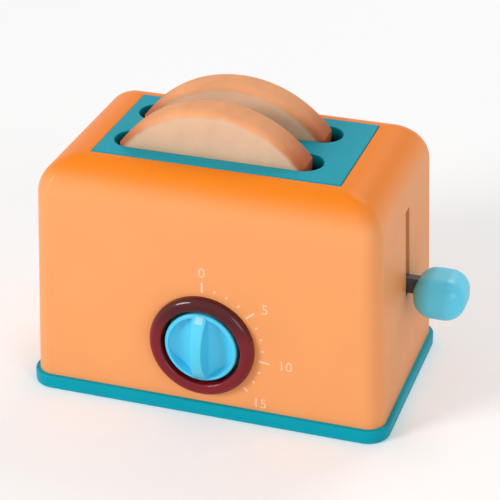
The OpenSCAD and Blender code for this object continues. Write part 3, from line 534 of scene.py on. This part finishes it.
bread = {
    "middle": -4.7, "rows": (-14.5, 14.5), "seat": 45, "halfWidth": 40.5, "height": 84,
    "halfThick": 7, "dome": 51, "corner": 5, "edge": 2.6, "domeSteps": 40,
    # the crust is darker up to just above the slot and lightens higher up
    "crumb": (234, 191, 158), "crust": (240, 166, 114), "lowCrust": (188, 96, 54),
    "crumbDrift": 0.05, "crustDrift": 0.08, "crustFade": (109, 124),  # heights, from dark to light
    "cloudScale": 70, "cloudDetail": 5, "cloudSpan": (0.35, 0.65), "cloudBlend": "LINEAR",
    "rind": 3.2, "rindFade": 0.8, "ragged": 1.4, "raggedScale": 160,  # the crust's inner border
    "rough": 0.66, "specular": 0.3, "pores": 0.6, "poreScale": 420, "crumbScale": 900,
    "crumbDetail": 5, "bump": 0.35, "bumpDepth": 0.3,
}


def makeSlice(b, y):
    centre = b["seat"] + b["height"] - b["dome"]
    sweep = math.degrees(math.asin(b["halfWidth"] / b["dome"]))
    foot, across = b["seat"] + b["corner"], b["halfWidth"] - b["corner"]
    outline = (arc(0, centre, b["dome"], 90 - sweep, 90 + sweep, b["domeSteps"])
               + arc(-across, foot, b["corner"], 180, 270, cornerSteps)
               + arc(across, foot, b["corner"], 270, 360, cornerSteps))
    bm = prism([(b["middle"] + x, y - b["halfThick"], z) for x, z in outline],
               (0, 2 * b["halfThick"], 0))
    rims = [e for e in bm.edges if abs(e.verts[0].co.y - e.verts[1].co.y) < weld]
    roundEdges(bm, rims, b["edge"], cornerSteps)
    return bm


def bakedBread(b):
    made, tree, shader, where = startMaterial("bakedBread")
    place = axes(tree, where)

    flat = tree.nodes.new("ShaderNodeCombineXYZ")  # how far a point is from the dome's centre
    feed(tree, flat.inputs["X"], place["X"])
    feed(tree, flat.inputs["Z"], place["Z"])
    far = tree.nodes.new("ShaderNodeVectorMath")
    far.operation = "DISTANCE"
    far.inputs[1].default_value = (b["middle"] * mm, 0, (b["seat"] + b["height"] - b["dome"]) * mm)
    feed(tree, far.inputs[0], flat.outputs["Vector"])

    rind = b["rind"] * mm  # positive values are inside the crust
    overDome = maths(tree, "SUBTRACT", far.outputs["Value"], b["dome"] * mm - rind)
    fromMiddle = maths(tree, "ABSOLUTE", maths(tree, "SUBTRACT", place["X"], b["middle"] * mm))
    overSide = maths(tree, "SUBTRACT", fromMiddle, b["halfWidth"] * mm - rind)
    underFoot = maths(tree, "SUBTRACT", b["seat"] * mm + rind, place["Z"])
    inRind = maths(tree, "MAXIMUM", overDome, maths(tree, "MAXIMUM", overSide, underFoot))
    ragged = noise(tree, where, b["raggedScale"])
    sway = maths(tree, "MULTIPLY_ADD", ragged, b["ragged"] * mm, inRind)
    edge = ranged(tree, sway, 0, b["rindFade"] * rind)

    crust = blended(tree, climbing(tree, where, *b["crustFade"]), linear(*b["lowCrust"]),
                    clouded(tree, where, b["crust"], b["crustDrift"], b))
    crumb = clouded(tree, where, b["crumb"], b["crumbDrift"], b)
    tree.links.new(blended(tree, edge, crumb, crust), shader.inputs["Base Color"])
    shader.inputs["Roughness"].default_value = b["rough"]
    shader.inputs["Specular IOR Level"].default_value = b["specular"]

    pores = tree.nodes.new("ShaderNodeTexVoronoi")
    pores.inputs["Scale"].default_value = b["poreScale"]
    tree.links.new(where, pores.inputs["Vector"])
    crumbs = noise(tree, where, b["crumbScale"], b["crumbDetail"])
    both = maths(tree, "MULTIPLY_ADD", pores.outputs["Distance"], b["pores"], crumbs)
    roughen(tree, shader, both, b["bump"], b["bumpDepth"])
    return made


toast = bakedBread(bread)
for y, name, body, node in zip(bread["rows"], ("frontSlice", "rearSlice"),
                               ("front_slice", "rear_slice"), ("front_toast", "rear_toast")):
    addPiece(makeSlice(bread, y), name, body, toast, [node])
print("bread made")


# print on the dial's surround, and a pale strip along the knob's crest near its top

scale = {
    "centre": dialCentre, "front": -shell["halfDepth"], "thick": 0.06, "digitSize": 6.4,
    "digits": {"0": (33.9, 0), "5": (34.6, 52), "10": (36.5, 96.6), "15": (35.0, 134)},
    "ticks": ((24.8, 29.6, 0), (24.8, 29.6, 50), (24.8, 29.6, 98), (25.2, 27.6, 134)),
    "dots": (12, 24, 37, 63, 75, 87, 110, 122), "dotSpan": (25.8, 27.2),  # angles, from the top
    "tickWidth": 0.9, "dotWidth": 0.8,
    "look": {"colour": (255, 204, 172), "rough": 0.5, "grain": 0.05},
}
mark = {"width": 3.4, "low": 12.6, "high": 15.0, "thick": 0.06, "sunk": 0.2, "steps": 6,
        "look": {"colour": (160, 226, 246), "rough": 0.4, "grain": 0.03}}


def onSurround(s, x, z):  # a place on the shell's front, measured from the dial's middle
    return s["centre"][0] + x, s["front"] - s["thick"] / 2, s["centre"][1] + z


def makeBar(s, width, low, high, angle):
    bm = block((width, s["thick"], high - low), (0, 0, (low + high) / 2))
    turn(bm, angle, "Y")
    shift(bm, onSurround(s, 0, 0))
    return bm


def makeDigits(s, words, reach, angle):
    curve = bpy.data.curves.new("digits", "FONT")
    curve.body, curve.size, curve.extrude = words, s["digitSize"] * mm, s["thick"] / 2 * mm
    curve.align_x, curve.align_y = "CENTER", "CENTER"
    label = bpy.data.objects.new("digits", curve)
    bpy.context.scene.collection.objects.link(label)
    bpy.context.view_layer.update()
    solved = label.evaluated_get(bpy.context.evaluated_depsgraph_get())
    bm = bmesh.new()
    bm.from_mesh(solved.to_mesh())
    solved.to_mesh_clear()
    bpy.data.objects.remove(label)
    turn(bm, 90, "X")
    a = math.radians(angle)
    shift(bm, onSurround(s, reach * math.sin(a), reach * math.cos(a)))
    return bm


def makeScale(s):
    parts = [makeDigits(s, words, *place) for words, place in s["digits"].items()]
    parts += [makeBar(s, s["tickWidth"], *tick) for tick in s["ticks"]]
    parts += [makeBar(s, s["dotWidth"], *s["dotSpan"], angle) for angle in s["dots"]]
    whole = bmesh.new()
    for part in parts:
        mesh = bpy.data.meshes.new("part")
        part.to_mesh(mesh)
        part.free()
        whole.from_mesh(mesh)
        bpy.data.meshes.remove(mesh)
    return whole


def makeMark(m, k):
    strip = crestPoints(k, m["thick"], m["low"], m["high"], m["steps"])
    strip += crestPoints(k, -m["sunk"], m["high"], m["low"], m["steps"])
    return prism([(k["centre"][0] - m["width"] / 2, y, z) for y, z in strip], (m["width"], 0, 0))


addPiece(makeScale(scale), "dialScale", "housing", moulded("dialInk", scale["look"]))
addPiece(makeMark(mark, knob), "knobPatch", "dial", moulded("palePatch", mark["look"]))
print("print made")


# finishes of the solids that show as they are

finishes = {
    "greySteel": {"colour": (190, 192, 196), "metal": 1, "rough": 0.35, "grain": 0.15,
                  "stretch": (1, 1, 0.1), "grainScale": 2500},
    "blueSteel": {"colour": (120, 128, 140), "metal": 1, "rough": 0.36, "grain": 0.1},
    "brassRod": {"colour": (206, 170, 96), "metal": 1, "rough": 0.35, "grain": 0.1},
    "darkFrame": {"colour": (70, 72, 78), "rough": 0.5, "grain": 0.15},
    "ivoryCase": {"colour": (232, 230, 218), "rough": 0.42, "grain": 0.08},
    "yellowGear": {"colour": (240, 212, 118), "rough": 0.38, "grain": 0.05},
    "orangeCam": {"colour": (240, 128, 60), "rough": 0.4, "grain": 0.05},
    "blackPart": {"colour": (36, 36, 39), "rough": 0.42, "grain": 0.1},
    "greenBoard": {"colour": (30, 110, 62), "rough": 0.36, "coat": 0.5, "grain": 0.08},
    "redLamp": {"colour": (244, 62, 48), "rough": 0.12, "coat": 0.8, "clear": 0.4},
    "cellSleeve": {"colour": (52, 88, 140), "rough": 0.36, "coat": 0.5, "drift": 0.05},
    "redLead": {"colour": (200, 34, 34), "rough": 0.45, "grain": 0.1},
    "redPlunger": {"colour": (210, 56, 44), "rough": 0.4, "grain": 0.05},
    "tealDoor": teal,
}
finishOf = {
    "greySteel": ["guide_rods", "battery_contacts", "base_screws", "timer_screws", "latch_pin",
                  "lever_screw", "return_springs", "dial_shaft", "door_screw"],
    "blueSteel": ["mainspring"], "brassRod": ["middle_arbor", "fly_arbor"],
    "darkFrame": ["bread_carriage", "lever_arm"],
    "ivoryCase": ["timer_front", "timer_back", "guide_bushes", "middle_gear", "fly_pinion"],
    "yellowGear": ["drive_gear"], "orangeCam": ["release_cam", "latch_hook"],
    "blackPart": ["light_switch", "governor_fly"], "greenBoard": ["light_board"],
    "redLamp": ["ring_lamps"], "cellSleeve": ["battery_cells"], "redLead": ["wiring"],
    "redPlunger": ["switch_plunger"], "tealDoor": ["battery_door"],
}
for finish, names in finishOf.items():
    material = moulded(finish, finishes[finish])
    for node in names:
        mesh = nodes[node].data
        mesh.materials.clear()
        mesh.materials.append(material)
print("finishes set")


# floor and light

studio = {
    "floorSize": 6, "floorLift": 0.17, "surround": 0.46, "lampAim": (0, 0, 0.06),
    "floorLook": {"colour": (246, 246, 246), "rough": 0.9, "specular": 0.1, "drift": 0, "grain": 0},
    "lamps": {"keyLamp": ((-1.05, -1.15, 0.75), 0.6, 14.1),  # place, size and power
              "fillLamp": ((1.2, -0.9, 0.7), 0.8, 4.6),
              "backLamp": ((0.3, 1.2, 1.3), 0.9, 7)},
}


def makeFloor(s):
    bm = bmesh.new()
    bmesh.ops.create_grid(bm, x_segments=2, y_segments=2, size=s["floorSize"] / 2)
    floor = objectFrom(bm, "floor")
    paper = moulded("paleFloor", s["floorLook"])
    floor.data.materials.append(paper)
    tree = paper.node_tree  # a little lift towards white, for the camera alone
    shader = tree.nodes["Principled BSDF"]
    rays = tree.nodes.new("ShaderNodeLightPath").outputs
    lift = maths(tree, "MULTIPLY", rays["Is Camera Ray"], s["floorLift"])
    tree.links.new(lift, shader.inputs["Emission Strength"])
    shader.inputs["Emission Color"].default_value = (1, 1, 1, 1)


def makeWorld(s):  # white where it is seen, softer where it lights
    world = bpy.data.worlds.new("studio")
    bpy.context.scene.world = world
    world.use_nodes = True
    tree = world.node_tree
    tree.nodes.clear()
    rays = tree.nodes.new("ShaderNodeLightPath").outputs
    direct = maths(tree, "MAXIMUM", rays["Is Camera Ray"], rays["Is Glossy Ray"])
    seen = maths(tree, "MAXIMUM", direct, rays["Is Transmission Ray"])
    blend = tree.nodes.new("ShaderNodeMixShader")
    tree.links.new(seen, blend.inputs["Fac"])
    for socket, strength in zip(blend.inputs[1:], (s["surround"], 1)):
        light = tree.nodes.new("ShaderNodeBackground")
        light.inputs["Color"].default_value = (1, 1, 1, 1)
        light.inputs["Strength"].default_value = strength
        tree.links.new(light.outputs["Background"], socket)
    out = tree.nodes.new("ShaderNodeOutputWorld")
    tree.links.new(blend.outputs["Shader"], out.inputs["Surface"])


def addLamp(name, place, size, power):
    data = bpy.data.lights.new(name, "AREA")
    data.shape, data.size, data.energy = "DISK", size, power
    lamp = bpy.data.objects.new(name, data)
    lamp.location = place
    turnTowards(lamp, studio["lampAim"])
    bpy.context.scene.collection.objects.link(lamp)


makeFloor(studio)
makeWorld(studio)
for name, lamp in studio["lamps"].items():
    addLamp(name, *lamp)
bpy.context.scene.view_settings.view_transform = "Standard"
print("studio set")
